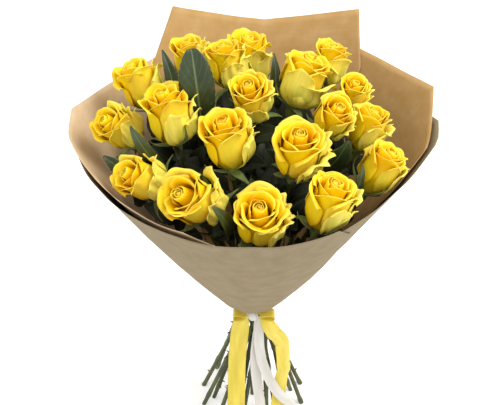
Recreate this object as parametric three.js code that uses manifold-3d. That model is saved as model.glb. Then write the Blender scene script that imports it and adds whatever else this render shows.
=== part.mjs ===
// A hand-tied bouquet of nineteen roses in a kraft paper wrap, standing on its spiral of cut stems.
// Millimetres, +Z up. The front of the bouquet faces -Y. The origin is on the surface that the cut ends stand on.
import * as THREE from "three";
import { mergeVertices } from "three/addons/utils/BufferGeometryUtils.js";
import Module from "manifold-3d";

const wasm = await Module();
wasm.setup();

// Driving dimensions
const GAP = 0.35; // clearance between pieces that touch
const TIE_HEIGHT = 165; // where the stems cross and the ribbon is tied
const STEM_RADIUS = 2.7;
// The tie holds one stem, six round it and twelve round those. Each ring of stems twists to one slope above the
// tie, and to a steeper one, its splay, below it.
const RINGS = [
  { count: 1, radius: 0, start: 0, slope: 0, splay: 0 },
  { count: 6, radius: 6.8, start: -91, slope: 0.43, splay: 0.29 },
  { count: 12, radius: 14.2, start: -57, slope: 0.54, splay: 0.37 },
];
const PAPER = 0.8; // thickness of a paper sheet
const LAYER_STEP = 2.7; // from one sheet of the wrap to the next one outwards
const HEM_HEIGHT = 176; // the wrap's bottom edge
const HEM_RADIUS = 27;
const CONE_SLOPE = 0.741; // outward run of the wrap for each millimetre of height
const LEAN_BACK = 0.02; // backward run of the wrap for each millimetre of height
const FRONT_PULL = 0.17; // how much nearer to the stems the wrap's front is pulled, as a share of its radius
const BAND_RADIUS = 18.6; // inside of the ribbon round the stems
const BAND_WIDTH = 20;

const COLOURS = {
  petal: { color: 0xf5cf12, roughness: 0.55 },
  stem: { color: 0x56682c, roughness: 0.6 },
  leaf: { color: 0x33452b, roughness: 0.45 },
  paper: { color: 0xb29668, roughness: 0.85 },
  yellow: { color: 0xe6cf3a, roughness: 0.35 },
  white: { color: 0xe6e2da, roughness: 0.4 },
};

// Each rose: the ring its stem has in the tie, the bloom's centre, its diameter, and where the bloom leans
// (azimuth and angle from upright, in degrees). Each ring is listed in the order of its stems round the tie.
const ROSES = [
  { ring: 0, centre: [-3, 28, 431], size: 50, lean: [250, 16] },
  { ring: 1, centre: [81, -9, 432], size: 46, lean: [321, 27] },
  { ring: 1, centre: [53, 62, 432], size: 57, lean: [36, 24] },
  { ring: 1, centre: [-29, 78, 440], size: 48, lean: [140, 14] },
  { ring: 1, centre: [-88, 2, 428], size: 58, lean: [155, 14] },
  { ring: 1, centre: [-27, -39, 424], size: 58, lean: [165, 9] },
  { ring: 1, centre: [44, -51, 421], size: 59, lean: [303, 12] },
  { ring: 2, centre: [107, 50, 421], size: 38, lean: [315, 12] },
  { ring: 2, centre: [84, 109, 420], size: 46, lean: [50, 20] },
  { ring: 2, centre: [-7, 124, 417], size: 56, lean: [80, 12] },
  { ring: 2, centre: [-70, 106, 428], size: 46, lean: [130, 15] },
  { ring: 2, centre: [-124, 72, 417], size: 51, lean: [154, 26] },
  { ring: 2, centre: [-141, 8, 406], size: 49, lean: [204, 42] },
  { ring: 2, centre: [-113, -63, 394], size: 50, lean: [205, 48] },
  { ring: 2, centre: [-60, -94, 392], size: 60, lean: [223, 42] },
  { ring: 2, centre: [6, -119, 388], size: 57, lean: [270, 20] },
  { ring: 2, centre: [74, -104, 397], size: 57, lean: [8, 17] },
  { ring: 2, centre: [131, -42, 390], size: 51, lean: [17, 30] },
  { ring: 2, centre: [119, 7, 407], size: 47, lean: [23, 22] },
];

// Leaves: the rose whose stem carries it, how far up that stem, and the tip, width and facing of the blade.
const LEAVES = [
  { rose: 4, at: 0.72, tip: [-64, 32, 491], width: 35, facing: [0.1, -0.9, 0.42] },
  { rose: 11, at: 0.8, tip: [-98, 84, 456], width: 15, facing: [0.4, -0.8, 0.4] },
  { rose: 4, at: 0.8, tip: [-124, -46, 448], width: 16, facing: [-0.2, -0.7, 0.6] },
  { rose: 13, at: 0.8, tip: [-155, -36, 404], width: 20, facing: [-0.5, -0.4, 0.8] },
  { rose: 1, at: 0.78, tip: [98, -48, 432], width: 26, facing: [0.3, -0.8, 0.5] },
  { rose: 5, at: 0.76, tip: [-2, -92, 418], width: 22, facing: [0.3, -0.6, 0.75] },
  { rose: 15, at: 0.78, tip: [-38, -132, 416], width: 17, facing: [0.2, -0.6, 0.8] },
  { rose: 17, at: 0.76, tip: [112, -74, 422], width: 18, facing: [0.6, -0.4, 0.7] },
  { rose: 2, at: 0.8, tip: [24, 86, 450], width: 13, facing: [0.2, -0.8, 0.6] },
];

// Paper sheets, as [azimuth, height] of the corners along the top edge and the azimuths of the hem's two ends.
// layer counts outwards from the innermost sheet, and flare leans the sheet's top out by that many millimetres.
const SHEETS = {
  paper_back: { top: [[34, 392], [57, 440], [86, 416], [115, 438], [128, 392]], hem: [-10, 190], layer: 0 },
  paper_right: { top: [[-24, 370], [19, 416], [60, 408]], hem: [-60, 80], layer: 1 },
  paper_left: { top: [[118, 400], [168, 406], [205, 402], [245, 394], [278, 360]], hem: [100, 290], layer: 1 },
  paper_side: { top: [[-72, 382], [-40, 390], [8, 400], [36, 384]], hem: [-90, 40], layer: 2, flare: 2 },
  paper_front: { top: [[168, 382], [200, 388], [235, 392], [270, 398], [299, 399], [312, 360]], hem: [150, 345],
    layer: 3, flare: 2 },
};

const rad = THREE.MathUtils.degToRad;
const UP = new THREE.Vector3(0, 0, 1);

// A point at an azimuth, a distance from the bouquet's axis and a height.
function polar(azimuth, radius, height) {
  return new THREE.Vector3(radius * Math.cos(rad(azimuth)), radius * Math.sin(rad(azimuth)), height);
}

// A unit vector that leans towards an azimuth, by an angle from upright.
function leaning([azimuth, angle]) {
  return polar(azimuth, Math.sin(rad(angle)), Math.cos(rad(angle)));
}

// Moves every vertex of a geometry by place(x, y, z), which returns a Vector3.
function reshape(geometry, place) {
  const at = geometry.getAttribute("position");
  for (let i = 0; i < at.count; i++) at.setXYZ(i, ...place(at.getX(i), at.getY(i), at.getZ(i)).toArray());
  return geometry;
}

// A geometry made along +Y, turned to run along direction from a point.
function aim(geometry, from, direction) {
  geometry.applyQuaternion(new THREE.Quaternion().setFromUnitVectors(new THREE.Vector3(0, 1, 0), direction));
  return geometry.translate(from.x, from.y, from.z);
}

// manifold-3d joins and cuts the pieces that three.js shapes.
function toSolid(geometry) {
  const bare = new THREE.BufferGeometry().setAttribute("position", geometry.getAttribute("position"));
  if (geometry.index) bare.setIndex(geometry.index);
  const merged = mergeVertices(bare, 1e-4);
  const vertProperties = merged.getAttribute("position").array;
  return new wasm.Manifold(new wasm.Mesh({ numProp: 3, vertProperties, triVerts: new Uint32Array(merged.index.array) }));
}

function toGeometry(solid) {
  const { vertProperties, triVerts } = solid.getMesh();
  const geometry = new THREE.BufferGeometry().setAttribute("position", new THREE.BufferAttribute(vertProperties, 3));
  return geometry.setIndex(new THREE.BufferAttribute(triVerts, 1));
}

const bouquet = new THREE.Group();

function piece(name, geometry, finish) {
  const mesh = new THREE.Mesh(geometry, new THREE.MeshStandardMaterial(COLOURS[finish]));
  mesh.name = name;
  bouquet.add(mesh);
}

// Roses

const HIP_LENGTH = 13; // the green swelling that the petals stand on
const BLOOM_RISE = 0.56; // how far a bloom's base lies below its centre, as a share of its diameter

// The stem runs straight from the floor through its place in the tie, and above it bends to the bloom's own lean.
function stemPath(rose, place) {
  const axis = leaning(rose.lean);
  const centre = new THREE.Vector3(...rose.centre);
  const neck = centre.addScaledVector(axis, -BLOOM_RISE * rose.size - HIP_LENGTH);
  const { count, radius, start, slope, splay } = RINGS[rose.ring];
  const azimuth = start + (place * 360) / count;
  const tie = polar(azimuth, radius, TIE_HEIGHT);
  const twist = polar(azimuth + 90, slope, 1);
  const foot = tie.clone().addScaledVector(polar(azimuth + 90, splay, 1), -TIE_HEIGHT - 6);
  const path = new THREE.CurvePath();
  path.add(new THREE.LineCurve3(foot, tie));
  const length = neck.distanceTo(tie);
  const first = tie.clone().addScaledVector(twist, 0.36 * length);
  const last = neck.clone().addScaledVector(axis, -0.28 * length);
  path.add(new THREE.CubicBezierCurve3(tie, first, last, neck));
  return { path, neck, axis };
}

function stemTube(path) {
  const section = new THREE.Shape().absarc(0, 0, STEM_RADIUS, 0, 2 * Math.PI);
  return new THREE.ExtrudeGeometry(section, { extrudePath: path, steps: 13, curveSegments: 4 });
}

// The hip, which flares into the seat of the petals.
function hip(neck, axis) {
  const profile = [[0, -1.5], [STEM_RADIUS, -1.5], [4.6, 3], [4.9, 7], [4.1, 10], [5.6, HIP_LENGTH], [0, HIP_LENGTH]];
  return aim(new THREE.LatheGeometry(profile.map(([r, y]) => new THREE.Vector2(r, y)), 8), neck, axis);
}

// Five sepals as one star, whose tips fall back towards the stem.
function sepals(neck, axis) {
  const star = new THREE.Shape();
  for (let i = 0; i < 10; i++) {
    const reach = i % 2 ? 5 : 19;
    const turn = (i * Math.PI) / 5;
    star[i ? "lineTo" : "moveTo"](reach * Math.cos(turn), reach * Math.sin(turn));
  }
  const plate = new THREE.ExtrudeGeometry(star, { depth: 0.9, bevelEnabled: false });
  reshape(plate, (x, y, z) => new THREE.Vector3(x, z + HIP_LENGTH - 2.6 - 0.02 * (x * x + y * y), -y));
  return aim(plate, neck, axis);
}

// The petals as one closed solid: a cup, a rolled outer rim and the rings of the furled middle.
function bloom(rose, neck, axis) {
  const rings = [
    [0, 0], [0.12, 0], [0.33, 0.13], [0.46, 0.37], [0.5, 0.6], [0.47, 0.86], [0.48, 0.99],
    [0.42, 1.03], [0.36, 0.95], [0.3, 1.08], [0.22, 1.01], [0.15, 1.12], [0, 1.07],
  ];
  const profile = rings.map(([r, y]) => new THREE.Vector2(r * rose.size, y * rose.size));
  const base = neck.clone().addScaledVector(axis, HIP_LENGTH + GAP);
  return aim(new THREE.LatheGeometry(profile, 11), base, axis);
}

const floor = toSolid(new THREE.BoxGeometry(600, 600, 40).translate(0, 0, -20));
const stems = [];
const placesTaken = [0, 0, 0];
ROSES.forEach((rose, i) => {
  const name = String(i + 1).padStart(2, "0");
  const { path, neck, axis } = stemPath(rose, placesTaken[rose.ring]++);
  const stem = toSolid(stemTube(path)).add(toSolid(hip(neck, axis))).add(toSolid(sepals(neck, axis)));
  stems.push(path);
  piece("stem_" + name, toGeometry(stem.subtract(floor)), "stem");
  piece("bloom_" + name, bloom(rose, neck, axis), "petal");
});

// Leaves

const STALK_SHARE = 0.55; // how much of a leaf's length is its stalk

// A strip of width across and thickness through, laid along a curve. side(v) is the direction across it there.
function strip(curve, { width, thickness, steps, columns = 2, side }) {
  return reshape(new THREE.BoxGeometry(1, 1, 1, columns, 1, steps), (x, y, z) => {
    const v = z + 0.5;
    const along = curve.getTangentAt(v);
    const across = side(v).addScaledVector(along, -side(v).dot(along)).normalize();
    const through = along.clone().cross(across);
    return curve.getPointAt(v).addScaledVector(across, x * width(v)).addScaledVector(through, y * thickness(v));
  });
}

// A leaf's outline: a slim stalk, then a blade that is widest a third of the way up.
function leafWidth(v, width) {
  if (v <= STALK_SHARE) return 1.6;
  const blade = (v - STALK_SHARE) / (1 - STALK_SHARE);
  return Math.max(1.4, width * Math.sin(Math.PI * Math.pow(blade, 0.8)) ** 0.8);
}

LEAVES.forEach((leaf, i) => {
  const start = stems[leaf.rose].getPointAt(leaf.at);
  const tip = new THREE.Vector3(...leaf.tip);
  const facing = new THREE.Vector3(...leaf.facing).normalize();
  const out = tip.clone().sub(start).cross(stems[leaf.rose].getTangentAt(leaf.at)).normalize();
  const clear = stems[leaf.rose].getTangentAt(leaf.at).cross(out).multiplyScalar(-(STEM_RADIUS + GAP + 1));
  const root = start.clone().sub(clear);
  const elbow = root.clone().lerp(tip, 0.5).addScaledVector(facing, -0.1 * root.distanceTo(tip));
  const curve = new THREE.QuadraticBezierCurve3(root, elbow, tip);
  const blade = strip(curve, {
    width: (v) => leafWidth(v, leaf.width),
    thickness: (v) => (v <= STALK_SHARE ? 1.6 : 0.8),
    steps: 12,
    side: () => tip.clone().sub(root).cross(facing),
  });
  piece("leaf_" + String(i + 1).padStart(2, "0"), blade, "leaf");
});

// Paper wrap

const CONE_SHARE = CONE_SLOPE / Math.hypot(1, CONE_SLOPE); // sine of the cone's half angle
const APEX_HEIGHT = HEM_HEIGHT - HEM_RADIUS / CONE_SLOPE;

// The cone unrolls flat: a height and azimuth on it become a point of the flat sheet.
function unrolled(azimuth, height) {
  const slant = ((height - APEX_HEIGHT) * CONE_SLOPE) / CONE_SHARE;
  return new THREE.Vector2(slant * Math.cos(rad(azimuth) * CONE_SHARE), slant * Math.sin(rad(azimuth) * CONE_SHARE));
}

// The wrap is pulled flatter from its side corners round its front, more so towards the rim.
function frontPull(azimuth, height) {
  const ahead = Math.max(0, -Math.sin(rad(azimuth)));
  return 1 - FRONT_PULL * ahead * (2.2 - 1.4 * ahead) * Math.min(1, (height - HEM_HEIGHT) / 200);
}

// A flat sheet with straight edges between its corners, rolled back on to the cone. COLUMNS steps run between corners.
const COLUMNS = 4;
const ROWS = 4;

function sheet({ top, hem, layer, flare = 0 }) {
  const spans = top.length - 1;
  const middle = (top[0][0] + top[spans][0]) / 2; // unrolled about its own middle, so no sheet meets the cut of the plane
  const corners = top.map(([azimuth, height]) => unrolled(azimuth - middle, height));
  return reshape(new THREE.BoxGeometry(1, 1, 1, spans * COLUMNS, 1, ROWS), (x, y, z) => {
    const u = (0.5 - x) * spans;
    const k = Math.min(spans - 1, Math.floor(u + 1e-9));
    const edge = corners[k].clone().lerp(corners[k + 1], u - k);
    const seam = unrolled(hem[0] + ((hem[1] - hem[0]) * u) / spans - middle, HEM_HEIGHT);
    const flat = seam.lerp(edge, z + 0.5);
    const azimuth = THREE.MathUtils.radToDeg(Math.atan2(flat.y, flat.x)) / CONE_SHARE + middle;
    const radius = flat.length() * CONE_SHARE;
    const height = APEX_HEIGHT + radius / CONE_SLOPE;
    const lift = layer * LAYER_STEP + flare * ((height - HEM_HEIGHT) / 200) ** 2;
    const lean = new THREE.Vector3(0, LEAN_BACK * (height - HEM_HEIGHT), 0);
    return polar(azimuth, frontPull(azimuth, height) * (radius + lift) + y * PAPER, height).add(lean);
  });
}

for (const [name, shape] of Object.entries(SHEETS)) piece(name, sheet(shape), "paper");

// Ribbons

const bandProfile = [
  [BAND_RADIUS, -BAND_WIDTH / 2], [BAND_RADIUS + 1.2, -BAND_WIDTH / 2], [BAND_RADIUS + 0.7, 0],
  [BAND_RADIUS + 1.2, BAND_WIDTH / 2], [BAND_RADIUS, BAND_WIDTH / 2], [BAND_RADIUS, -BAND_WIDTH / 2],
].map(([r, y]) => new THREE.Vector2(r, y));
const bandHeight = HEM_HEIGHT - BAND_WIDTH / 2 - GAP;
piece("ribbon_band", aim(new THREE.LatheGeometry(bandProfile, 24), new THREE.Vector3(0, 0, bandHeight), UP), "yellow");

// Ribbon tails hang from the knot over the spread of the stems. A route lists how far right, how high and how far
// clear of the stems the middle line is, and twist lists how far the ribbon turns off them as it falls, in degrees.
const TAILS = {
  yellow_tail_front: { width: 21, finish: "yellow", twist: [6, 10, 16, 8],
    route: [[-10, 160, 3.4], [-14, 138, 3.2], [-18, 98, 3.4], [-19, 58, 4.5], [-20, 30, 5.5], [-22, 6, 6]] },
  white_tail_back: { width: 12, finish: "white", twist: [8, 0, 5, 0],
    route: [[6, 151, 2.2], [5, 126, 2.2], [3, 98, 2.2], [6, 64, 2.4], [11, 34, 3], [14, 12, 4]] },
  white_tail_front: { width: 11, finish: "white", twist: [0, -5, -10, 0],
    route: [[4, 159, 5.2], [7, 140, 5.8], [8, 116, 6], [16, 82, 7], [31, 52, 8.5], [46, 32, 9], [56, 12, 9]] },
  yellow_tail_right: { width: 19, finish: "yellow", twist: [0, -20, -36, -30, -15, -5, 0],
    route: [[10, 161, 8], [20, 144, 14], [32, 122, 15], [37, 90, 11], [33, 58, 3.6], [30, 32, 3], [29, 10, 3]] },
};
const RIBBON = 0.6;

// A point in front of the stems' spread, whose radius grows both ways from the tie.
function overStems([x, height, clear]) {
  const { radius, splay } = RINGS[2];
  const spread = Math.hypot(radius, splay * (TIE_HEIGHT - height)) + STEM_RADIUS + clear + 0.6;
  return new THREE.Vector3(x, -Math.sqrt(spread ** 2 - x ** 2), height);
}

for (const [name, { width, finish, twist, route }] of Object.entries(TAILS)) {
  const curve = new THREE.CatmullRomCurve3(route.map(overStems));
  const turn = new THREE.SplineCurve(twist.map((angle, i) => new THREE.Vector2(i, angle)));
  piece(name, strip(curve, {
    width: () => width,
    thickness: () => RIBBON,
    steps: 24,
    side: (v) => UP.clone().cross(curve.getPointAt(v)).applyAxisAngle(UP, rad(turn.getPoint(v).y)),
  }), finish);
}

// The bow's two short loops sit each side of the knot, under the hem of the wrap.
function bowLoop(side, reach) {
  const turns = [[0.42, -27, 169], [0.7, -30, 172], [1, -29, 168], [0.9, -27, 161], [0.6, -28, 161], [0.4, -27.5, 164]];
  const curve = new THREE.CatmullRomCurve3(turns.map(([x, y, z]) => new THREE.Vector3(side * reach * x, y, z)));
  return strip(curve, {
    width: () => 9,
    thickness: () => RIBBON,
    steps: 18,
    side: () => new THREE.Vector3(0, 1, 0.5),
  });
}
piece("bow_loop_left", bowLoop(-1, 22), "yellow");
piece("bow_loop_right", bowLoop(1, 25), "yellow");

const knot = new THREE.SphereGeometry(1, 12, 8).scale(5.5, 4.4, 7).translate(0, -27.6, 164);
piece("ribbon_knot", toGeometry(toSolid(knot)), "white");

const centreOf = new THREE.Box3().setFromObject(bouquet).getCenter(new THREE.Vector3());
bouquet.position.set(-centreOf.x, -centreOf.y, 0);

export default bouquet;
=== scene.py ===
import math
import random

import bmesh
import bpy
import numpy as np
from mathutils import Matrix, Quaternion, Vector


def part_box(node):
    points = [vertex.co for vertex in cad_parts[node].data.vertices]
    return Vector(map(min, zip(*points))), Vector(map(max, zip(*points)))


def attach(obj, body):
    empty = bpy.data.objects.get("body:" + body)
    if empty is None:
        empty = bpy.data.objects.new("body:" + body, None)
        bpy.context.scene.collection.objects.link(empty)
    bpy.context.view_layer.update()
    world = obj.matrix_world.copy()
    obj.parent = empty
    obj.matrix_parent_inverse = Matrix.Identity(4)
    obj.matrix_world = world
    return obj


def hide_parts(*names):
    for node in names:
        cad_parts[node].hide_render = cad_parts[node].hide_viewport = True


# A hand-tied bouquet of yellow roses in kraft paper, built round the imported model.
# Metres, +Z up, front at -Y.

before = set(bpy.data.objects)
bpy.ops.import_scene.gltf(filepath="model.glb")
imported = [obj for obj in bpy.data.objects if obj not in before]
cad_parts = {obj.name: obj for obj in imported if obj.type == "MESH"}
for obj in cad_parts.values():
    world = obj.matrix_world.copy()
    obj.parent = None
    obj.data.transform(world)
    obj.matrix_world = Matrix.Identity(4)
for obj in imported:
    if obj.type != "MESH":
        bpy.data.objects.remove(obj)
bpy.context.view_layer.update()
mm = 0.001
up = Vector((0, 0, 1))
goldenAngle = math.radians(137.5)


# Materials

def linear(colour):
    parts = [int(colour[i:i + 2], 16) / 255 for i in (1, 3, 5)]
    return tuple(c / 12.92 if c <= 0.04045 else ((c + 0.055) / 1.055) ** 2.4 for c in parts) + (1.0,)


# Adds one node. Settings named for a socket, or numbered as one, set its value; the others set the
# node's own.
def addNode(tree, kind, settings=(), **links):
    node = tree.nodes.new(kind)
    for name, value in dict(settings).items():
        if name == "ramp":
            stops = node.color_ramp.elements
            while len(stops) < len(value):
                stops.new(1)
            for stop, (place, colour) in zip(stops, value):
                stop.position, stop.color = place, linear(colour)
        elif isinstance(name, int) or name in node.inputs:
            node.inputs[name].default_value = value
        else:
            setattr(node, name, value)
    for name, source in links.items():
        socket = int(name[1:]) if name[1:].isdigit() else name.replace("_", " ")
        tree.links.new(source, node.inputs[socket])
    return node


def newMaterial(name, **constants):
    material = bpy.data.materials.new(name)
    material.use_nodes = True
    tree = material.node_tree
    shader = tree.nodes["Principled BSDF"]
    for socket, value in constants.items():
        shader.inputs[socket.replace("_", " ")].default_value = value
    return material, tree, shader


def mixColours(tree, factor, first, second, blend="MIX"):
    settings = {"data_type": "RGBA", "blend_type": blend}
    node = addNode(tree, "ShaderNodeMix", settings)
    for index, value in ((0, factor), (6, first), (7, second)):
        if isinstance(value, (int, float)):
            node.inputs[index].default_value = value
        elif isinstance(value, str):
            node.inputs[index].default_value = linear(value)
        else:
            tree.links.new(value, node.inputs[index])
    return node.outputs[2]


def multiply(tree, first, second):
    return addNode(tree, "ShaderNodeMath", {"operation": "MULTIPLY"}, i0=first, i1=second).outputs[0]


# Fresh rose petals: soft, thin and slightly see-through. They are deeper towards the furled middle, partly
# their own colour and partly painted shade deep in the cup, and pale along the rolled rim, a painted
# highlight.
def petalMaterial():
    material, tree, shader = newMaterial(
        "freshRosePetal", Roughness=0.52, Subsurface_Weight=0.25, Subsurface_Scale=0.004)
    shader.inputs["Specular IOR Level"].default_value = 0.22
    shader.inputs["Subsurface Radius"].default_value = (1.0, 0.8, 0.15)
    along = addNode(tree, "ShaderNodeAttribute", {"attribute_name": "along"}).outputs["Fac"]
    ring = addNode(tree, "ShaderNodeAttribute", {"attribute_name": "ring"}).outputs["Fac"]
    # each inner petal runs from deep orange at its base, partly the rose's own colour and partly painted
    # shade deep in the cup, to pale yellow at its tip, a painted highlight on the lip
    inner = addNode(tree, "ShaderNodeValToRGB", {"ramp": [
        (0.0, "#CF8C00"), (0.5, "#F8BE00"), (0.86, "#FFD60A"), (1.0, "#FFE348")]}, Fac=along)
    # the outer petals run from their own green base to yellow; the pale last stops along the rolled rim are a
    # painted highlight
    outer = addNode(tree, "ShaderNodeValToRGB", {"ramp": [
        (0.0, "#9DB03C"), (0.12, "#DCD02E"), (0.34, "#FAD200"), (0.9, "#FFDC08"), (0.98, "#FFE230"),
        (1.0, "#FFEA6C")]}, Fac=along)
    age = addNode(tree, "ShaderNodeMapRange", {"From Min": 0.15, "From Max": 0.7}, Value=ring)
    base = mixColours(tree, age.outputs[0], inner.outputs["Color"], outer.outputs["Color"])
    uv = addNode(tree, "ShaderNodeUVMap", {"uv_map": "petalUv"}).outputs[0]
    fan = addNode(tree, "ShaderNodeMapping", {"Scale": (26, 2.2, 1)}, Vector=uv)
    veins = addNode(tree, "ShaderNodeTexNoise", {"Scale": 1.0, "Detail": 3.0, "Roughness": 0.6},
                    Vector=fan.outputs[0])
    spot = addNode(tree, "ShaderNodeTexCoord")
    cloud = addNode(tree, "ShaderNodeTexNoise", {"Scale": 42.0, "Detail": 2.0}, Vector=spot.outputs["Object"])
    veinShade = addNode(tree, "ShaderNodeMapRange", {"From Min": 0.35, "From Max": 0.7, "To Max": 0.22},
                        Value=veins.outputs["Fac"])
    veined = mixColours(tree, veinShade.outputs[0], base, "#E8A800")
    # warm blushes a few millimetres wide
    glow = addNode(tree, "ShaderNodeMapRange", {"From Min": 0.46, "From Max": 0.68, "To Max": 0.5},
                   Value=cloud.outputs["Fac"])
    veined = mixColours(tree, glow.outputs[0], veined, "#F4A800")
    # the guard petals outside the cup are pale, with green patches that fade towards the rim
    guard = addNode(tree, "ShaderNodeMapRange", {"From Min": 0.78, "From Max": 0.98, "To Max": 0.78},
                    Value=ring)
    paled = mixColours(tree, guard.outputs[0], veined, "#FFF070")
    low = addNode(tree, "ShaderNodeMapRange", {"From Min": 1.1, "From Max": 0.35, "To Max": 0.85},
                  Value=along)
    wide = addNode(tree, "ShaderNodeMapping", {"Scale": (8, 1.4, 1)}, Vector=uv)
    streaks = addNode(tree, "ShaderNodeTexNoise", {"Scale": 1.0, "Detail": 4.0}, Vector=wide.outputs[0])
    blotch = addNode(tree, "ShaderNodeMapRange", {"From Min": 0.45, "From Max": 0.6},
                     Value=streaks.outputs["Fac"])
    patch = multiply(tree, low.outputs[0], blotch.outputs[0])
    green = multiply(tree, patch, guard.outputs[0])
    tinted = mixColours(tree, green, paled, "#B4CC3C")
    tree.links.new(tinted, shader.inputs["Base Color"])
    bump = addNode(tree, "ShaderNodeBump", {"Strength": 0.25, "Distance": 0.4 * mm},
                   Height=veins.outputs["Fac"])
    tree.links.new(bump.outputs[0], shader.inputs["Normal"])
    return material


# Rose leaf: a waxed, dark upper side with a paler midrib and side veins.
def leafMaterial(name, tones, veinTone, gloss):
    material, tree, shader = newMaterial(name, Roughness=gloss, Subsurface_Weight=0.05)
    shader.inputs["Subsurface Scale"].default_value = 0.002
    uv = addNode(tree, "ShaderNodeUVMap", {"uv_map": "leafUv"}).outputs[0]
    spot = addNode(tree, "ShaderNodeTexCoord").outputs["Object"]
    cloud = addNode(tree, "ShaderNodeTexNoise", {"Scale": 38.0, "Detail": 4.0}, Vector=spot)
    body = addNode(tree, "ShaderNodeValToRGB", {"ramp": [
        (0.3, tones[0]), (0.55, tones[1]), (0.75, tones[2])]}, Fac=cloud.outputs["Fac"])
    parts = addNode(tree, "ShaderNodeSeparateXYZ", Vector=uv)
    centred = addNode(tree, "ShaderNodeMath", {"operation": "SUBTRACT", 1: 0.5}, i0=parts.outputs[0])
    aside = addNode(tree, "ShaderNodeMath", {"operation": "ABSOLUTE"}, i0=centred.outputs[0])
    rib = addNode(tree, "ShaderNodeMapRange", {"From Min": 0.05, "From Max": 0.0}, Value=aside.outputs[0])
    # side veins sweep forward from the midrib: stripes of (length - slope * distance from the midrib)
    swept = addNode(tree, "ShaderNodeMath", {"operation": "MULTIPLY_ADD", 1: -0.62}, i0=aside.outputs[0],
                    i2=parts.outputs[1])
    wave = addNode(tree, "ShaderNodeMath", {"operation": "MULTIPLY", 1: 50.0}, i0=swept.outputs[0])
    stripe = addNode(tree, "ShaderNodeMath", {"operation": "SINE"}, i0=wave.outputs[0])
    vein = addNode(tree, "ShaderNodeMapRange", {"From Min": 0.8, "From Max": 1.0, "To Max": 0.16},
                   Value=stripe.outputs[0])
    lines = addNode(tree, "ShaderNodeMath", {"operation": "MAXIMUM"}, i0=rib.outputs[0], i1=vein.outputs[0])
    veined = mixColours(tree, lines.outputs[0], body.outputs["Color"], veinTone)
    tree.links.new(veined, shader.inputs["Base Color"])
    bump = addNode(tree, "ShaderNodeBump", {"Strength": 0.4, "Distance": 0.4 * mm, "invert": True},
                   Height=lines.outputs[0])
    tree.links.new(bump.outputs[0], shader.inputs["Normal"])
    return material


# Rose stem: green bark, smooth and faintly ridged, with brown flecks.
def stemMaterial():
    material, tree, shader = newMaterial("greenRoseStem", Roughness=0.48)
    spot = addNode(tree, "ShaderNodeTexCoord").outputs["Object"]
    stretch = addNode(tree, "ShaderNodeMapping", {"Scale": (1.0, 1.0, 0.16)}, Vector=spot)
    ridges = addNode(tree, "ShaderNodeTexNoise", {"Scale": 520.0, "Detail": 3.0}, Vector=stretch.outputs[0])
    patches = addNode(tree, "ShaderNodeTexNoise", {"Scale": 34.0, "Detail": 3.0}, Vector=spot)
    bark = addNode(tree, "ShaderNodeValToRGB", {"ramp": [
        (0.3, "#2A3314"), (0.52, "#455023"), (0.72, "#676C35")]}, Fac=patches.outputs["Fac"])
    ridge = addNode(tree, "ShaderNodeMapRange", {"From Min": 0.4, "From Max": 0.7, "To Max": 0.5},
                    Value=ridges.outputs["Fac"])
    ridged = mixColours(tree, ridge.outputs[0], bark.outputs["Color"], "#3A3F1C")
    tree.links.new(ridged, shader.inputs["Base Color"])
    bump = addNode(tree, "ShaderNodeBump", {"Strength": 0.4, "Distance": 0.3 * mm},
                   Height=ridges.outputs["Fac"])
    tree.links.new(bump.outputs[0], shader.inputs["Normal"])
    return material


# Thorns: the same skin, reddened by the sun.
def thornMaterial():
    material, tree, shader = newMaterial("reddishThorn", Roughness=0.45)
    spot = addNode(tree, "ShaderNodeTexCoord").outputs["Object"]
    cloud = addNode(tree, "ShaderNodeTexNoise", {"Scale": 300.0}, Vector=spot)
    skin = addNode(tree, "ShaderNodeValToRGB", {"ramp": [(0.35, "#4B3A1E"), (0.65, "#6E4A2A")]},
                   Fac=cloud.outputs["Fac"])
    tree.links.new(skin.outputs["Color"], shader.inputs["Base Color"])
    return material


# Rose hip and sepals: matt, light green, with a little down.
def sepalMaterial():
    material, tree, shader = newMaterial("downySepal", Roughness=0.6, Sheen_Weight=0.2)
    spot = addNode(tree, "ShaderNodeTexCoord").outputs["Object"]
    cloud = addNode(tree, "ShaderNodeTexNoise", {"Scale": 90.0, "Detail": 3.0}, Vector=spot)
    skin = addNode(tree, "ShaderNodeValToRGB", {"ramp": [
        (0.3, "#4E5E22"), (0.55, "#71843A"), (0.8, "#A3AD50")]}, Fac=cloud.outputs["Fac"])
    tree.links.new(skin.outputs["Color"], shader.inputs["Base Color"])
    return material


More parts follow.
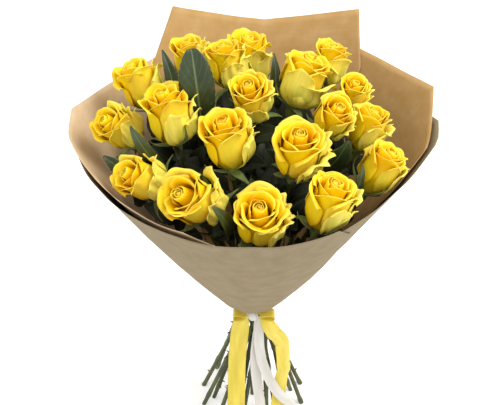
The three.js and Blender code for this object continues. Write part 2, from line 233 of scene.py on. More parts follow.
# Ribbed kraft paper: matt, with fine ribs across the sheet and loose dark and pale fibres.
def kraftMaterial(name, tones):
    material, tree, shader = newMaterial(name, Roughness=0.85)
    shader.inputs["Specular IOR Level"].default_value = 0.3
    uv = addNode(tree, "ShaderNodeUVMap", {"uv_map": "paperUv"}).outputs[0]  # in metres along the flat sheet
    ribMap = addNode(tree, "ShaderNodeMapping", {"Scale": (460, 16, 1)}, Vector=uv)
    ribs = addNode(tree, "ShaderNodeTexNoise", {"Scale": 1.0, "Detail": 3.0, "Roughness": 0.7},
                   Vector=ribMap.outputs[0])
    pulpMap = addNode(tree, "ShaderNodeMapping", {"Scale": (60, 60, 1)}, Vector=uv)
    pulp = addNode(tree, "ShaderNodeTexNoise", {"Scale": 1.0, "Detail": 5.0}, Vector=pulpMap.outputs[0])
    fibreMap = addNode(tree, "ShaderNodeMapping", {"Scale": (900, 300, 1)}, Vector=uv)
    fibres = addNode(tree, "ShaderNodeTexNoise", {"Scale": 1.0, "Detail": 2.0}, Vector=fibreMap.outputs[0])
    tone = addNode(tree, "ShaderNodeValToRGB", {"ramp": [
        (0.3, tones[0]), (0.5, tones[1]), (0.7, tones[2])]}, Fac=pulp.outputs["Fac"])
    ribShade = addNode(tree, "ShaderNodeMapRange", {"From Min": 0.35, "From Max": 0.65, "To Max": 0.5},
                       Value=ribs.outputs["Fac"])
    ribbed = mixColours(tree, ribShade.outputs[0], tone.outputs["Color"], tones[0])
    fleck = addNode(tree, "ShaderNodeMapRange", {"From Min": 0.66, "From Max": 0.76, "To Max": 0.4},
                    Value=fibres.outputs["Fac"])
    tree.links.new(mixColours(tree, fleck.outputs[0], ribbed, tones[3]), shader.inputs["Base Color"])
    bump = addNode(tree, "ShaderNodeBump", {"Strength": 0.35, "Distance": 0.3 * mm},
                   Height=ribs.outputs["Fac"])
    tree.links.new(bump.outputs[0], shader.inputs["Normal"])
    return material


# Polyester satin: floats of thread across the ribbon give it a soft, one-way shine.
def satinMaterial(name, dark, light):
    material, tree, shader = newMaterial(name, Roughness=0.34, Sheen_Weight=0.25, Anisotropic=0.5)
    shader.inputs["Subsurface Weight"].default_value = 0.08
    shader.inputs["Subsurface Scale"].default_value = 0.002
    uv = addNode(tree, "ShaderNodeUVMap", {"uv_map": "ribbonUv"}).outputs[0]  # in metres along the ribbon
    threads = addNode(tree, "ShaderNodeMapping", {"Scale": (2600, 90, 1)}, Vector=uv)
    weave = addNode(tree, "ShaderNodeTexNoise", {"Scale": 1.0, "Detail": 2.0}, Vector=threads.outputs[0])
    # broad streaks along the ribbon blend its darker and lighter tones: painted shade and painted sheen where
    # the satin is creased
    broad = addNode(tree, "ShaderNodeMapping", {"Scale": (120, 18, 1)}, Vector=uv)
    creaseShadeAndSheenNoise = addNode(tree, "ShaderNodeTexNoise", {"Scale": 1.0, "Detail": 2.0}, Vector=broad.outputs[0])
    creaseShadeAndSheen = addNode(tree, "ShaderNodeMapRange", {"From Min": 0.3, "From Max": 0.7},
                    Value=creaseShadeAndSheenNoise.outputs["Fac"])
    tone = mixColours(tree, creaseShadeAndSheen.outputs[0], dark, light)
    thread = addNode(tree, "ShaderNodeMapRange", {"From Min": 0.4, "From Max": 0.7, "To Max": 0.25},
                     Value=weave.outputs["Fac"])
    tree.links.new(mixColours(tree, thread.outputs[0], tone, dark), shader.inputs["Base Color"])
    bump = addNode(tree, "ShaderNodeBump", {"Strength": 0.2, "Distance": 0.1 * mm},
                   Height=weave.outputs["Fac"])
    tree.links.new(bump.outputs[0], shader.inputs["Normal"])
    return material


# The studio floor: a white acrylic table, faintly lit from beneath, whose pigment is not quite even
def floorMaterial():
    material, tree, shader = newMaterial("litWhiteAcrylic", Roughness=0.9, Emission_Strength=0.3)
    shader.inputs["Emission Color"].default_value = linear("#FFFFFF")
    spot = addNode(tree, "ShaderNodeTexCoord").outputs["Object"]
    cloud = addNode(tree, "ShaderNodeTexNoise", {"Scale": 3.0}, Vector=spot)
    paint = addNode(tree, "ShaderNodeValToRGB", {"ramp": [(0.3, "#F3F1EE"), (0.7, "#F8F7F5")]},
                    Fac=cloud.outputs["Fac"])
    tree.links.new(paint.outputs["Color"], shader.inputs["Base Color"])
    return material


petalFinish = petalMaterial()
leafFinish = leafMaterial("waxyRoseLeaf", ("#222F1B", "#334428", "#4A5A36"), "#6B7F56", 0.36)
# a much darker copy of the leaf on a duller finish: painted shade for the filler leaves deep in the bouquet
shadedLeafFinish = leafMaterial("shadedDullRoseLeaf", ("#12180B", "#1D2612", "#2C361B"), "#3A4526", 0.6)
stemFinish = stemMaterial()
thornFinish = thornMaterial()
sepalFinish = sepalMaterial()
warmKraft = kraftMaterial("warmRibbedKraftPaper", ("#B48F57", "#BB9764", "#C3A06F", "#95764C"))
# a paler copy of the same kraft paper: painted light, for the inside of the left sheet
litKraft = kraftMaterial("litRibbedKraftPaper", ("#CDB28E", "#D4BB99", "#DAC2A2", "#AE9471"))
# a darker, greyer copy of the same kraft paper: painted shade, for the wrap's front and the side sheet under
# it
shadedKraft = kraftMaterial("shadedRibbedKraftPaper", ("#827458", "#8A7B60", "#908267", "#716349"))
yellowFinish = satinMaterial("yellowSatin", "#CDB52E", "#E6D24E")
whiteFinish = satinMaterial("whiteSatin", "#BEBAB2", "#D8D5CE")
print("materials made")


# Mesh helpers

def finishPiece(name, bm, materials, replaced=(), thickness=0, smooth=True):
    mesh = bpy.data.meshes.new(name)
    for face in bm.faces:
        face.smooth = smooth
    bm.to_mesh(mesh)
    bm.free()
    piece = bpy.data.objects.new(name, mesh)
    bpy.context.scene.collection.objects.link(piece)
    for material in materials:
        mesh.materials.append(material)
    if thickness:
        wall = piece.modifiers.new("thickness", "SOLIDIFY")
        wall.thickness = thickness
        wall.offset = 0
    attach(piece, "root")
    if replaced:
        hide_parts(*replaced)
    return piece


# Adds a grid of columns by rows cells. place(x, y) gives each point, with x and y from 0 to 1, as a position
# and the point's own place on the flat piece, which goes into the UV map.
def addSheet(bm, columns, rows, place, uvName, material=0, values=None):
    uvLayer = bm.loops.layers.uv.get(uvName) or bm.loops.layers.uv.new(uvName)
    values = values or {}
    floats = bm.verts.layers.float
    layers = {name: floats.get(name) or floats.new(name) for name in values}
    grid = bmesh.ops.create_grid(bm, x_segments=columns, y_segments=rows, size=0.5)["verts"]
    flat = {}
    for vertex in grid:
        x, y = vertex.co.x + 0.5, vertex.co.y + 0.5
        vertex.co, flat[vertex] = place(x, y)
        for name, value in values.items():
            vertex[layers[name]] = value(x, y)
    for face in {face for vertex in grid for face in vertex.link_faces}:
        face.material_index = material
        for loop in face.loops:
            loop[uvLayer].uv = flat[loop.vert]
    return grid


# A tube whose rings follow a route, closed at both ends.
def addTube(bm, route, radii, segments=10, material=0):
    heading = (route[1] - route[0]).normalized()
    turn = up.rotation_difference(heading)
    ring = bmesh.ops.create_circle(bm, cap_ends=True, segments=segments, radius=1)["verts"]
    edges = list({edge for vertex in ring for edge in vertex.link_edges})
    shape = {vertex: vertex.co.copy() for vertex in ring}
    faces = list(ring[0].link_faces)
    for vertex, spot in shape.items():
        vertex.co = route[0] + turn @ (spot * radii[0])
    for i in range(1, len(route)):
        ahead = route[min(i + 1, len(route) - 1)] - route[i - 1]
        turnNow = heading.rotation_difference(ahead.normalized()) @ turn
        heading = ahead.normalized()
        back = turn.inverted()
        grown = bmesh.ops.extrude_edge_only(bm, edges=edges)["geom"]
        ring = [item for item in grown if isinstance(item, bmesh.types.BMVert)]
        inRing = set(ring)
        edges = [item for item in grown
                 if isinstance(item, bmesh.types.BMEdge) and set(item.verts) <= inRing]
        faces += [item for item in grown if isinstance(item, bmesh.types.BMFace)]
        for vertex in ring:
            spot = back @ ((vertex.co - route[i - 1]) / radii[i - 1])
            vertex.co = route[i] + turnNow @ (spot * radii[i])
        turn = turnNow
    faces += bmesh.ops.holes_fill(bm, edges=edges)["faces"]
    bmesh.ops.recalc_face_normals(bm, faces=faces)
    for face in faces:
        face.material_index = material


def smoothStep(low, high, value):
    t = min(1.0, max(0.0, (value - low) / (high - low)))
    return t * t * (3 - 2 * t)


# Where a CAD node's triangles cross a height.
def crossing(node, height):
    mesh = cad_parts[node].data
    points = np.array([v.co for v in mesh.vertices])
    corners = points[np.array([list(p.vertices) for p in mesh.polygons])]
    found = []
    for a, b in ((0, 1), (1, 2), (2, 0)):
        za, zb = corners[:, a, 2] - height, corners[:, b, 2] - height
        cut = za * zb < 0
        share = (za[cut] / (za[cut] - zb[cut]))[:, None]
        found.append(corners[cut, a] + share * (corners[cut, b] - corners[cut, a]))
    return np.vstack(found)


bandLow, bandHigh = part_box("ribbon_band")
axisX, axisY = (bandLow.x + bandHigh.x) / 2, (bandLow.y + bandHigh.y) / 2
axisFoot = Vector((axisX, axisY, 0))


# Kraft paper wrap. Each sheet was cut flat with straight edges and rolled on a cone, whose sizes are in
# millimetres.
wrap = {
    "hemHeight": 176,
    "hemRadius": 27,
    "slope": 0.741,  # of radius to height
    "rimRise": 200,  # from the hem to about the rim
    "leanBack": 0.02,
    "frontPull": 0.17,
    "layerStep": 2.7,
    "thickness": 0.35 * mm,
    "pleats": 9,
    "clearance": 2.5 * mm,  # kept by leaves and petals
}
# corners of the top edge as (azimuth, height), the azimuths of the hem's two ends, and the layer, counted
# outwards. The back sheet's right-hand edge stands upright.
sheets = {
    "paper_back": {"top": [(49, 392), (57, 440), (86, 416), (115, 438), (128, 392)],
                   "hem": (-10, 190), "layer": 0},
    "paper_right": {"top": [(-24, 370), (19, 416), (60, 408)], "hem": (-60, 80), "layer": 1},
    "paper_left": {"top": [(118, 400), (168, 406), (205, 402), (245, 394), (278, 360)],
                   "hem": (100, 290), "layer": 1},
    "paper_side": {"top": [(-72, 382), (-40, 390), (8, 400), (36, 384)],
                   "hem": (-90, 40), "layer": 2, "flare": 2},
    "paper_front": {"top": [(168, 382), (200, 388), (235, 392), (270, 398), (299, 399), (312, 360)],
                    "hem": (150, 345), "layer": 3, "flare": 2},
}
coneShare = wrap["slope"] / math.hypot(1, wrap["slope"])
apex = wrap["hemHeight"] - wrap["hemRadius"] / wrap["slope"]


# The wrap is pulled flatter round its front, more so towards the rim.
def frontPull(turn, height):
    ahead = max(0.0, -math.sin(turn))
    risen = min(1, (height - wrap["hemHeight"]) / wrap["rimRise"])
    return 1 - wrap["frontPull"] * ahead * (2.2 - 1.4 * ahead) * risen


# How far a point is inside the wrap.
def roomInWrap(spot):
    height = spot.z / mm
    x, y = spot.x - axisX, spot.y - axisY - wrap["leanBack"] * (height - wrap["hemHeight"]) * mm
    cone = wrap["hemRadius"] + wrap["slope"] * (height - wrap["hemHeight"])
    return cone * frontPull(math.atan2(y, x), height) * mm - math.hypot(x, y)


# Leaves and petals that would touch the wrap are pressed inwards by it.
def keepInside(spot):
    lacking = (wrap["clearance"] - roomInWrap(spot)) * smoothStep(0.42, 0.4, spot.z)
    if lacking <= 0 or spot.z < wrap["hemHeight"] * mm:
        return spot
    return spot + Vector((axisX - spot.x, axisY - spot.y, 0)).normalized() * lacking


# Roses

rose = {
    "petals": 20,
    "guards": 3,  # loose petals outside the cup, all on one side of it
    "petalThickness": 0.4 * mm,
    "hipLength": 13 * mm,  # from the stem's neck to the petals' seat
    "heightToSize": 1.12,  # of the CAD bloom
    "core": 0.42,  # the share of the petals that stay furled in the middle
    "lip": 0.72,  # how far up its length a petal begins to turn outwards
}


# The bloom's seat, axis and diameter, from its CAD node.
def bloomFrame(node):
    points = np.unique(np.round([v.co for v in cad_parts[node].data.vertices], 5), axis=0)
    middle = points.mean(0)
    axis = Vector(np.linalg.svd(points - middle)[2][0])
    if axis.z < 0:
        axis.negate()
    heights = (points - middle) @ np.array(axis)
    seat = Vector(middle) + axis * float(heights.min())
    return seat, axis, float(np.ptp(heights)) / rose["heightToSize"]


# How full the cup is, from 0 at its seat to 1 at its widest, at a share of the petals' height.
def bellyAt(rise, taper):
    return math.sin(min(1.0, max(0.0, rise) / (0.66 + 0.3 * taper)) * math.pi / 2) ** (0.75 + 0.35 * taper)


# One petal as a function of its place in the bloom. age runs from 0 at the furled middle to 1 at the
# outermost. openness runs from 0 for a bud to 1, and a tapered bloom narrows evenly down to its hip.
def petalShape(age, size, openness, taper, guard, chance):
    core = rose["core"]
    furled = age < core
    if furled:
        cup = size * (0.05 + 0.16 * (age / core)) * (0.9 + 0.2 * openness)
    else:
        cup = size * (0.22 + (0.2 + 0.03 * openness) * ((age - core) / (1 - core)) ** 0.75)
    cup *= chance.uniform(0.96, 1.04)
    lipLength = size * (0.1 if furled else 0.12 + 0.15 * age) * chance.uniform(0.85, 1.15)
    top = size * (1.04 + 0.06 * smoothStep(0, core, age) - 0.13 * age ** 2 - 0.06 * openness * age)
    top *= chance.uniform(0.96, 1.03)
    flare = math.radians(-30 if furled else chance.uniform(8, 34) + (16 + 44 * openness) * age)
    roll = math.radians(0 if furled else chance.uniform(20, 110) * age)
    spread = math.radians(170 - 230 * age if furled else 88 - 26 * age)
    sideDrop = (0.04 if furled else 0.06 + 0.12 * age) * chance.uniform(0.7, 1.4)
    point = size * (0.0 if furled else 0.06 * age) * chance.uniform(0.0, 1.2)
    ripple = size * 0.011 * age
    skew = chance.uniform(-0.4, 0.4)
    tilt = chance.uniform(-0.12, 0.12) * age  # one shoulder of the lip stands higher than the other
    corner = chance.uniform(-0.5, 0.9) * age
    closing = 0.55 - 0.3 * age / core if furled else 0.26 - 0.24 * age
    fall = crease = 0
    if guard:
        cup *= 1.02
        top *= chance.uniform(0.68, 1.0)
        flare *= chance.uniform(0.2, 1.3)
        spread *= chance.uniform(0.5, 0.82)
        ripple *= 1.9
        fall = size * chance.uniform(0.0, 0.05)
        crease = size * chance.uniform(0.012, 0.024)
    bodyHeight = top - 0.85 * lipLength
    waves = [(chance.uniform(1.0, 3.2), chance.uniform(0, 2 * math.pi), ripple) for _ in range(3)]

    # x and y run from 0 to 1 across and up the petal; gives the distance from the axis, the turn round it
    # and the height
    def place(x, y):
        u = 2 * x - 1
        side = abs(u + skew * (1 - u * u))
        rise = min(1.0, y / rose["lip"])
        radius = cup * (0.12 + 0.88 * bellyAt(rise, taper)) * (1 - closing * smoothStep(0.5, 1, rise))
        height = bodyHeight * (1 - sideDrop * side ** 2.4 + tilt * u) * rise ** 1.12
        if y > rose["lip"]:
            t = (y - rose["lip"]) / (1 - rose["lip"])
            for k in range(5):
                reached = (k + 0.5) / 5 * t
                turned = flare * (1 + corner * u) * reached ** 1.5 + roll * side * smoothStep(0.6, 1, reached)
                radius += lipLength * t / 5 * math.sin(turned)
                height += lipLength * t / 5 * math.cos(turned)
            height += point * (1 - smoothStep(0.0, 0.6, side)) * t ** 2
        radius *= 1 + (0.12 if furled else 0.06) * u
        wave = sum(depth * math.sin(rate * math.pi * u + start) for rate, start, depth in waves)
        radius += wave * y * y + fall * rise ** 2
        radius += crease * math.cos(7 * (u + skew)) * math.sin(math.pi * min(1, 1.2 * y))
        height += 0.5 * wave * smoothStep(0.7, 1, y)
        width = 0.44 + 0.56 * smoothStep(0, 0.55, y) - 0.26 * age * smoothStep(0.72, 1, y)
        return max(radius, 0.4 * mm), u * spread * width, height

    return place


def makeBloom(node, seed):
    chance = random.Random(seed)
    seat, axis, size = bloomFrame(node)
    turn = up.rotation_difference(axis)
    openness = min(1.0, max(0.0, (size - 0.046) / 0.014)) * 0.5 + chance.uniform(0, 0.5)
    taper = chance.uniform(0, 0.65)
    guardSide = chance.uniform(-1.3, 0.7)  # most of the loose petals are on the bouquet's right
    bm = bmesh.new()
    for i in range(rose["petals"] + rose["guards"]):
        guard = i >= rose["petals"]
        age = 1.0 if guard else 0.88 * i / (rose["petals"] - 1)
        azimuth = i * goldenAngle + chance.uniform(-0.15, 0.15)
        if guard:
            azimuth = guardSide + (i - rose["petals"] - 1) * 0.7 + chance.uniform(-0.15, 0.15)
        shape = petalShape(age, size, openness, taper, guard, chance)

        def place(x, y):
            radius, swing, height = shape(x, y)
            angle = azimuth + swing
            spot = Vector((radius * math.cos(angle), radius * math.sin(angle), height))
            return keepInside(seat + turn @ spot), (x, y)

        columns = 20 if age < rose["core"] else 16
        addSheet(bm, columns, 18, place, "petalUv",
                 values={"along": lambda x, y: y, "ring": lambda x, y, age=age: age})
    finishPiece(node.replace("bloom", "petals"), bm, [petalFinish], [node], rose["petalThickness"])
    return taper


stem = {
    "radius": 2.6 * mm,
    "swelling": 0.9 * mm,  # at each place where a leaf grew
    "swellingEvery": 62 * mm,
    "thinning": 0.3 * mm,  # from the cut end to the neck
    "thorns": 7,
    "thornLength": 4.2 * mm,
    "thornHook": 1.8 * mm,
    "sepals": 5,
    "sepalThickness": 0.6 * mm,
}


# A stem's middle line from the floor to its neck, from its CAD node and its bloom's.
def stemRoute(node):
    seat, axis, size = bloomFrame(node.replace("stem", "bloom"))
    neck = seat - axis * rose["hipLength"]
    levels = np.linspace(0.3 * mm, neck.z - 14 * mm, 17)
    route = [Vector(crossing(node, float(level)).mean(0)) for level in levels]
    route[0].z = 0
    return route + [neck], axis, size


def smoothRoute(route, steps):
    fine = []
    for i in range(len(route) - 1):
        before, after = route[max(i - 1, 0)], route[min(i + 2, len(route) - 1)]
        for k in range(steps):
            t = k / steps
            a, b = route[i], route[i + 1]
            fine.append(0.5 * (2 * a + (b - before) * t + (2 * before - 5 * a + 4 * b - after) * t * t
                               + (3 * a - before - 3 * b + after) * t ** 3))
    return fine + [route[-1]]


# A sepal either lies up against the cup or falls back towards the stem.
def addSepal(bm, neck, axis, azimuth, size, taper, chance):
    turn = up.rotation_difference(axis)
    length = size * chance.uniform(0.5, 0.75)
    width = size * 0.09
    first = math.radians(66)
    hugging = chance.random() < 0.75
    last = math.radians(chance.uniform(-5, 30) if hugging else chance.uniform(90, 190))
    twist = chance.uniform(-0.4, 0.4)

    def place(x, y):
        outward, height = 5.6 * mm, rose["hipLength"] - 0.6 * mm
        for k in range(6):
            reached = (k + 0.5) / 6 * y
            turned = first + (last - first) * reached ** 0.9
            outward += length * y / 6 * math.sin(turned)
            height += length * y / 6 * math.cos(turned)
        if hugging:
            belly = bellyAt((max(0, height - rose["hipLength"]) / (0.58 * size)) ** 0.9, taper)
            outward = max(outward, size * (0.07 + 0.43 * belly) + 1.6 * mm)
        half = width * (1 - y) ** 0.8 * (0.75 + 0.5 * math.sin(math.pi * min(1, y * 1.4))) * (2 * x - 1)
        spot = Vector((outward - 60 * half * half, half, height))
        return keepInside(neck + turn @ (Quaternion(up, azimuth + twist * y) @ spot)), (x, y)

    addSheet(bm, 4, 12, place, "sepalUv", material=2)


def makeStem(node, seed, taper):
    chance = random.Random(seed)
    coarse, axis, size = stemRoute(node)
    route = smoothRoute(coarse, 4)
    start = chance.uniform(0, 1)
    radii = []
    travelled = 0
    for i, spot in enumerate(route):
        travelled += (spot - route[max(i - 1, 0)]).length
        beat = (travelled / stem["swellingEvery"] + start) % 1
        swollen = stem["swelling"] * max(0, 1 - abs(beat - 0.5) * 9)
        radii.append(stem["radius"] + swollen - stem["thinning"] * i / len(route))
    bm = bmesh.new()
    addTube(bm, route, radii, 12)
    for vertex in bm.verts:
        vertex.co.z = max(vertex.co.z, 0)  # cut level
    # thorns, each hooked towards the floor
    for _ in range(stem["thorns"]):
        i = chance.randrange(4, int(len(route) * 0.75))
        along = (route[i + 1] - route[i]).normalized()
        out = Quaternion(along, chance.uniform(0, 6.28)) @ along.orthogonal().normalized()
        root = route[i] + out * (radii[i] - 0.3 * mm)
        tip = root + out * stem["thornLength"] - along * stem["thornHook"]
        bend = root.lerp(tip, 0.55) + along * 0.4 * mm
        addTube(bm, [root, bend, tip], [1.3 * mm, 0.6 * mm, 0.08 * mm], 6, 1)
    # the hip swells under the petals
    neck = route[-1]
    profile = [(-2, 2.3), (2, 3.8), (6, 5.2), (9.5, 4.7), (11.5, 5.6), (13.5, 7.4)]
    addTube(bm, [neck + axis * h * mm for h, _ in profile], [r * mm for _, r in profile], 14, 2)
    finishes = [stemFinish, thornFinish, sepalFinish]
    finishPiece(node.replace("stem", "thornyStem"), bm, finishes, [node])
    bm = bmesh.new()
    for i in range(stem["sepals"]):
        azimuth = i * 2 * math.pi / stem["sepals"] + chance.uniform(-0.2, 0.2)
        addSepal(bm, neck, axis, azimuth, size, taper, chance)
    finishPiece(node.replace("stem", "sepals"), bm, finishes, (), stem["sepalThickness"])
    return route


roseNodes = sorted(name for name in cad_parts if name.startswith("bloom_"))
tapers = [makeBloom(node, seed) for seed, node in enumerate(roseNodes)]
print("blooms made")
stemRoutes = [makeStem(node.replace("bloom", "stem"), seed, tapers[seed])
              for seed, node in enumerate(roseNodes)]
print("stems made")


# Leaves

leaf = {
    "thickness": 0.4 * mm,
    "teeth": 15,
    "fillers": 150,  # leaves between and under the blooms
    "fillerReach": 140 * mm,  # from the bouquet's axis
    "fillerLength": (32, 50),  # in millimetres
    "fillerShare": (0.48, 0.6),  # of width to length
    "fillerGap": 7 * mm,  # kept from the paper
    "domeTop": 0.422,  # the height that the filler leaves stay under, in the middle
}


# A leaf blade with a folded midrib and a toothed edge. facing is the way its upper side looks.
def addLeaf(bm, root, tip, facing, width, chance, rows=30, blunt=0):
    along = (tip - root).normalized()
    across = along.cross(facing).normalized()
    over = across.cross(along)
    length = (tip - root).length
    arch = length * chance.uniform(0.06, 0.16)
    fold = chance.uniform(0.1, 0.34)
    ripple = chance.uniform(0, 6.28)
    widest, fullness = 0.88 + 0.5 * blunt, 0.75 - 0.25 * blunt

    def place(x, y):
        u = 2 * x - 1
        teeth = 1 + 0.09 * (1 - (y * leaf["teeth"]) % 1) * (abs(u) > 0.95)
        half = width / 2 * math.sin(math.pi * min(1, y * 0.97 + 0.015) ** widest) ** fullness * teeth
        lift = arch * 4 * y * (1 - y) + abs(u) * half * fold - 0.25 * arch * y * y
        lift += 0.03 * width * math.sin(9 * y + ripple) * u * u
        return keepInside(root + along * (length * y) + across * (half * u) + over * lift), (x, y)

    addSheet(bm, 8, rows, place, "leafUv")


def addStalk(bm, start, end, lift, material=0):
    elbow = start.lerp(end, 0.5) + lift
    route = [start.lerp(elbow, t).lerp(elbow.lerp(end, t), t) for t in (0, 0.25, 0.5, 0.75, 1)]
    addTube(bm, route, [1.2 * mm, 1.0 * mm, 0.9 * mm, 0.8 * mm, 0.7 * mm], 6, material)


# The named leaves follow their CAD nodes: the thin direction is the way they face.
def makeLeaf(node, seed):
    chance = random.Random(400 + seed)
    points = np.array([v.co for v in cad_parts[node].data.vertices])
    root = Vector(points[points[:, 2].argmin()])
    tip = Vector(points[points[:, 2].argmax()])
    blade = points[points[:, 2] > root.z + 0.58 * (tip.z - root.z)]
    thin = Vector(np.linalg.svd(blade - blade.mean(0))[2][2])
    facing = thin if thin.y < 0 else -thin
    side = (tip - root).cross(facing).normalized()
    width = float(np.ptp(blade @ np.array(side)))
    heel = root.lerp(tip, 0.54)
    bm = bmesh.new()
    addLeaf(bm, heel, tip, facing, width, chance, blunt=1 if width > 28 * mm else 0)
    finishPiece("blade_" + node[-2:], bm, [leafFinish], [node], leaf["thickness"])
    bm = bmesh.new()
    addStalk(bm, root, heel + (tip - heel).normalized() * 2 * mm, -facing * 1.5 * mm)
    finishPiece("stalk_" + node[-2:], bm, [stemFinish])


for seed, node in enumerate(sorted(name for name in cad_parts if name.startswith("leaf_"))):
    makeLeaf(node, seed)


def unrolled(azimuth, height):
    slant = (height - apex) * wrap["slope"] / coneShare
    angle = math.radians(azimuth) * coneShare
    return Vector((slant * math.cos(angle), slant * math.sin(angle)))


def makePaper(node, sheet):
    chance = random.Random(900)  # the same sway in every sheet, so that their layers stay apart
    top, hem = sheet["top"], sheet["hem"]
    spans = len(top) - 1
    middle = (top[0][0] + top[-1][0]) / 2
    corners = [unrolled(azimuth - middle, height) for azimuth, height in top]
    phases = [chance.uniform(0, 6.28) for _ in range(5)]

    def place(x, y):
        along = x * spans
        k = min(spans - 1, int(along))
        edge = corners[k].lerp(corners[k + 1], along - k)
        seam = unrolled(hem[0] + (hem[1] - hem[0]) * x - middle, wrap["hemHeight"])
        flat = seam.lerp(edge, y)
        azimuth = math.degrees(math.atan2(flat.y, flat.x)) / coneShare + middle
        radius = flat.length * coneShare
        height = apex + radius / wrap["slope"]
        up01 = (height - wrap["hemHeight"]) / wrap["rimRise"]
        lift = sheet["layer"] * wrap["layerStep"] + sheet.get("flare", 0) * up01 ** 2
        turn = math.radians(azimuth)
        pulled = frontPull(turn, height) * (radius + lift)
        # the sheet's free top edge sways, and the hem is gathered in shallow pleats
        sway = 1.5 * up01 * math.sin(2.3 * turn + phases[0]) + 0.8 * up01 * math.sin(5.1 * turn + phases[1])
        gather = 0.7 * math.sin(wrap["pleats"] * turn + phases[2]) * max(0, 1 - up01 * 1.6) ** 2
        crease = 0.35 * math.sin(17 * turn + 3 * up01 + phases[3]) * math.sin(3.1 * up01 + phases[4])
        rumple = math.sin(34 * up01 + 1.6 * math.sin(3 * turn))
        crease += 0.22 * rumple * math.sin(5 * turn + 9 * up01 + phases[4])
        out = (pulled + 0.4 + sway + gather + crease) * mm
        spot = Vector((axisX + out * math.cos(turn), axisY + out * math.sin(turn), height * mm))
        spot.y += wrap["leanBack"] * (height - wrap["hemHeight"]) * mm
        return spot, (flat.x * mm, flat.y * mm)

    bm = bmesh.new()
    addSheet(bm, spans * 14, 40, place, "paperUv")
    # the front and side sheets wear the painted-shade copy of the paper, the left sheet the painted-light
    # copy
    tinted = {"paper_front": shadedKraft, "paper_side": shadedKraft, "paper_left": litKraft}
    name = "kraft" + node[len("paper_"):].capitalize()
    finishPiece(name, bm, [tinted.get(node, warmKraft)], [node], wrap["thickness"])


for node, sheet in sheets.items():
    makePaper(node, sheet)
print("paper made")


# Filler leaves stand in the gaps between the blooms, where the nearest bloom is furthest away.
def makeFillers():
    chance = random.Random(77)
    heads = []
    for node in roseNodes:
        seat, axis, size = bloomFrame(node)
        heads.append((seat + axis * size * 0.5, size))
    blades, stalks, chosen = bmesh.new(), bmesh.new(), []
    while len(chosen) < leaf["fillers"]:
        deep = len(chosen) % 2
        best, bestRoom = None, -1
        for _ in range(12):
            azimuth = chance.uniform(0, 2 * math.pi)
            reach = leaf["fillerReach"] * math.sqrt(chance.uniform(0.01, 1))
            tip = axisFoot + Vector((reach * math.cos(azimuth), reach * math.sin(azimuth), 0))
            tip.z = leaf["domeTop"] - 0.045 * (reach / 0.15) ** 2 + 0.07 * (tip.y - axisY)
            tip.z -= chance.uniform(0.035, 0.075) if deep else chance.uniform(0.004, 0.034)
            outward = Vector((tip.x - axisX, tip.y - axisY, 0)).normalized()
            length = chance.uniform(*leaf["fillerLength"]) * mm
            rise = (up * chance.uniform(0.4, 1.2) + outward * chance.uniform(0.1, 0.8)
                    + Vector((chance.uniform(-0.6, 0.6), chance.uniform(-0.6, 0.6), 0))).normalized()
            facing = up * 0.8 - rise * rise.z + Vector((0, -0.6, 0)) + outward * chance.uniform(-0.6, 0.1)
            width = length * chance.uniform(*leaf["fillerShare"])
            middle = tip - rise * length * 0.45
            side = rise.cross(facing).normalized() * width / 2
            edges = (tip, middle + side, middle - side, tip - rise * length)
            if min(roomInWrap(edge) for edge in edges) < leaf["fillerGap"]:
                continue
            room = min((tip - centre).length - size * 0.52 for centre, size in heads)
            room = min([room] + [(tip - other).length * 0.6 for other in chosen])
            if room > bestRoom:
                best, bestRoom = (tip, rise, length, facing.normalized(), width, outward), room
        if not best:
            continue
        tip, rise, length, facing, width, outward = best
        chosen.append(tip)
        root = tip - rise * length
        addLeaf(blades, root, tip, facing, width, chance, 18)
        near = min((spot for route in stemRoutes for spot in route if spot.z < root.z - 12 * mm),
                   key=lambda spot: (spot - root + up * 30 * mm).length)
        addStalk(stalks, near, root + rise * 2 * mm, outward * -3 * mm)
    # the filler leaves are dark with painted shade, filling the gaps between the blooms
    finishPiece("fillerLeaves", blades, [shadedLeafFinish], (), leaf["thickness"])
    finishPiece("fillerStalks", stalks, [stemFinish])


makeFillers()
print("filler leaves made")


# Ribbons

ribbon = {"thickness": 0.3 * mm, "endCut": 5 * mm}
tails = {
    "yellow_tail_front": ("yellowTailFront", yellowFinish, "yellow_satin", 21 * mm),
    "yellow_tail_right": ("yellowTailRight", yellowFinish, "yellow_satin", 18 * mm),
    "white_tail_front": ("whiteTailFront", whiteFinish, "white_satin", 12 * mm),
    "white_tail_back": ("whiteTailBack", whiteFinish, "white_satin", 12 * mm),
}


# A tail's middle line and the way across it, level by level down its CAD node.
def tailLine(node, count=26):
    low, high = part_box(node)
    places, sides = [], []
    for level in np.linspace(high.z - 0.8 * mm, low.z + 0.8 * mm, count):
        points = crossing(node, float(level))
        middle = points.mean(0)
        side = Vector(np.linalg.svd(points - middle)[2][0])
        if sides and side.dot(sides[-1]) < 0:
            side.negate()
        elif not sides and side.x < 0:
            side.negate()
        places.append(Vector(middle))
        sides.append(side)
    return places, sides


def lengthOf(route):
    return sum((b - a).length for a, b in zip(route, route[1:]))


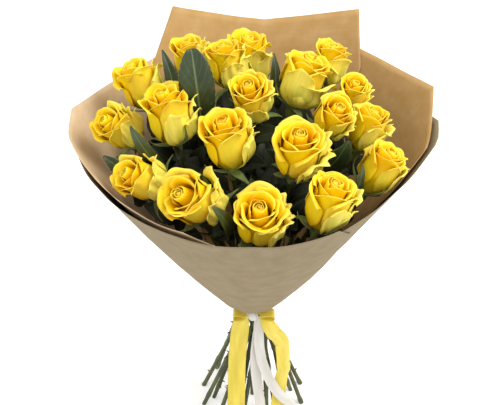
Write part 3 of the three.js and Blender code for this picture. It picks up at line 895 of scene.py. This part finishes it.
def makeTail(node, name, finish, width, seed):
    places, sides = tailLine(node)
    length = lengthOf(places)
    chance = random.Random(50 + seed)
    phase = chance.uniform(0, 6.28)
    count = len(places) - 1

    def place(x, y):
        along = y * count
        k = min(count - 1, int(along))
        centre = places[k].lerp(places[k + 1], along - k)
        side = sides[k].lerp(sides[k + 1], along - k).normalized()
        run = (places[k + 1] - places[k]).normalized()
        side = (side - run * side.dot(run)).normalized()
        through = run.cross(side)
        u = 2 * x - 1
        gather = 0.55 + 0.45 * smoothStep(0, 0.16, y)  # pinched where it leaves the knot
        cupped = 0.06 * width * math.sin(2.2 * u + phase) * (1.2 - y)
        cupped += 0.05 * width * math.sin(7 * y + phase) * u
        notch = ribbon["endCut"] * (abs(u) - 0.5) * smoothStep(0.93, 1, y)
        spot = centre + side * (u * width / 2 * gather) + through * cupped + run * notch
        return spot, (x * width, y * length)

    bm = bmesh.new()
    addSheet(bm, 12, 90, place, "ribbonUv")
    piece = finishPiece(name, bm, [finish], [node], ribbon["thickness"])


for seed, (node, (name, finish, slot, width)) in enumerate(tails.items()):
    makeTail(node, name, finish, width, seed)


# A strip of ribbon whose two ends meet.
def closedStrip(columns, rows, place):
    bm = bmesh.new()
    addSheet(bm, columns, rows, place, "ribbonUv")
    bmesh.ops.remove_doubles(bm, verts=bm.verts, dist=0.02 * mm)
    bmesh.ops.recalc_face_normals(bm, faces=bm.faces)
    return bm


# The band: the ribbon goes round the stems under the hem, with its edges not quite in line.
def makeBand():
    radius = (bandHigh.x - bandLow.x) / 2
    height = bandHigh.z - bandLow.z
    middle = (bandHigh.z + bandLow.z) / 2

    def place(x, y):
        turn = 2 * math.pi * x
        folds = 0.35 * mm * math.sin(14 * y + 2 * math.sin(turn)) + 0.25 * mm * math.sin(9 * turn)
        out = radius - 0.5 * mm + folds
        z = middle + (y - 0.5) * height * 0.98 + 0.5 * mm * math.sin(2 * turn + 4 * y)
        spot = Vector((axisX + out * math.cos(turn), axisY + out * math.sin(turn), z))
        return spot, (y * height, turn * radius)

    bm = closedStrip(96, 14, place)
    piece = finishPiece(
        "ribbonBand", bm, [yellowFinish], ["ribbon_band"], ribbon["thickness"])


def makeLoop(node, name, side):
    low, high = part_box(node)
    centre = (low + high) / 2
    halfWide, halfDeep, halfHigh = (high.x - low.x) / 2, (high.y - low.y) / 2, (high.z - low.z) / 2

    def place(x, y):
        turn = 2 * math.pi * x
        slack = 1 - 0.45 * math.exp(-((math.cos(turn) * side + 1) ** 2) * 3)  # pinched towards the knot
        across = (y - 0.5) * 2 * halfDeep * 0.9
        rise = halfHigh * math.sin(turn) * 0.55 * slack
        spot = centre + Vector((halfWide * math.cos(turn), across, rise))
        spot.z += across * 0.35 + 0.6 * mm * math.sin(3 * turn)
        return spot, (y * 9 * mm, turn * halfWide)

    bm = closedStrip(48, 6, place)
    area = sum(face.calc_area() for face in bm.faces)
    piece = finishPiece(name, bm, [yellowFinish], [node], ribbon["thickness"])


# The knot: a short length of white ribbon pulled tight round the tails, gathered in lengthwise folds.
def makeKnot():
    low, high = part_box("ribbon_knot")
    centre = (low + high) / 2
    half = (high - low) / 2

    def place(x, y):
        turn = 2 * math.pi * x
        belly = math.sin(math.pi * (0.12 + 0.76 * y))
        folds = 1 + 0.07 * math.sin(7 * turn + 2 * y) + 0.03 * math.sin(13 * turn)
        spot = Vector((half.x * belly * folds * math.cos(turn), half.y * belly * folds * math.sin(turn),
                       half.z * (2 * y - 1) * 0.95))
        return centre + spot, (y * 2 * half.z, turn * half.x)

    bm = closedStrip(72, 16, place)
    area = sum(face.calc_area() for face in bm.faces)
    piece = finishPiece("whiteKnot", bm, [whiteFinish], ["ribbon_knot"], ribbon["thickness"])


makeBand()
makeLoop("bow_loop_left", "bowLoopLeft", -1)
makeLoop("bow_loop_right", "bowLoopRight", 1)
makeKnot()
print("ribbons made")


# Studio

studio = {
    "distance": 1.45,
    "elevation": math.radians(40),
    "aim": (-0.003, 0.0, 0.312),  # from the bouquet's axis on the floor
    "lens": 94.9,
    "floorSize": 6.0,
    "roomLight": 0.85,
}
# each softbox's place, its size across, its power and its colour
lamps = {
    "keyLight": ((1.15, -0.15, 1.9), 1.3, 34, "#FFFCF5"),
    "fillLight": ((-1.3, -1.0, 1.3), 1.4, 9, "#F4F7FF"),
}


def addLamp(name, spot, aim, size, power, colour):
    lamp = bpy.data.lights.new(name, "AREA")
    lamp.size, lamp.energy, lamp.color = size, power, linear(colour)[:3]
    holder = bpy.data.objects.new(name, lamp)
    facing = (aim - spot).to_track_quat("-Z", "Y").to_matrix().to_4x4()
    holder.matrix_world = Matrix.Translation(spot) @ facing
    bpy.context.scene.collection.objects.link(holder)


def makeStudio():
    bm = bmesh.new()
    bmesh.ops.create_grid(bm, x_segments=1, y_segments=1, size=studio["floorSize"])
    mesh = bpy.data.meshes.new("studioFloor")
    bm.to_mesh(mesh)
    bm.free()
    floor = bpy.data.objects.new("studioFloor", mesh)
    mesh.materials.append(floorMaterial())
    bpy.context.scene.collection.objects.link(floor)
    aim = axisFoot + Vector(studio["aim"])
    back = Vector((0, -math.cos(studio["elevation"]), math.sin(studio["elevation"])))
    camera = bpy.data.cameras.new("camera")
    camera.lens, camera.sensor_width = studio["lens"], 36
    holder = bpy.data.objects.new("camera", camera)
    facing = back.to_track_quat("Z", "Y").to_matrix().to_4x4()
    holder.matrix_world = Matrix.Translation(aim + back * studio["distance"]) @ facing
    bpy.context.scene.collection.objects.link(holder)
    bpy.context.scene.camera = holder
    for name, (spot, size, power, colour) in lamps.items():
        addLamp(name, Vector(spot), aim, size, power, colour)
    world = bpy.data.worlds.new("softRoom")
    world.use_nodes = True
    background = world.node_tree.nodes["Background"]
    background.inputs["Color"].default_value = linear("#FFFFFF")
    background.inputs["Strength"].default_value = studio["roomLight"]
    bpy.context.scene.world = world
    bpy.context.scene.view_settings.view_transform = "Standard"


makeStudio()
print("studio made")
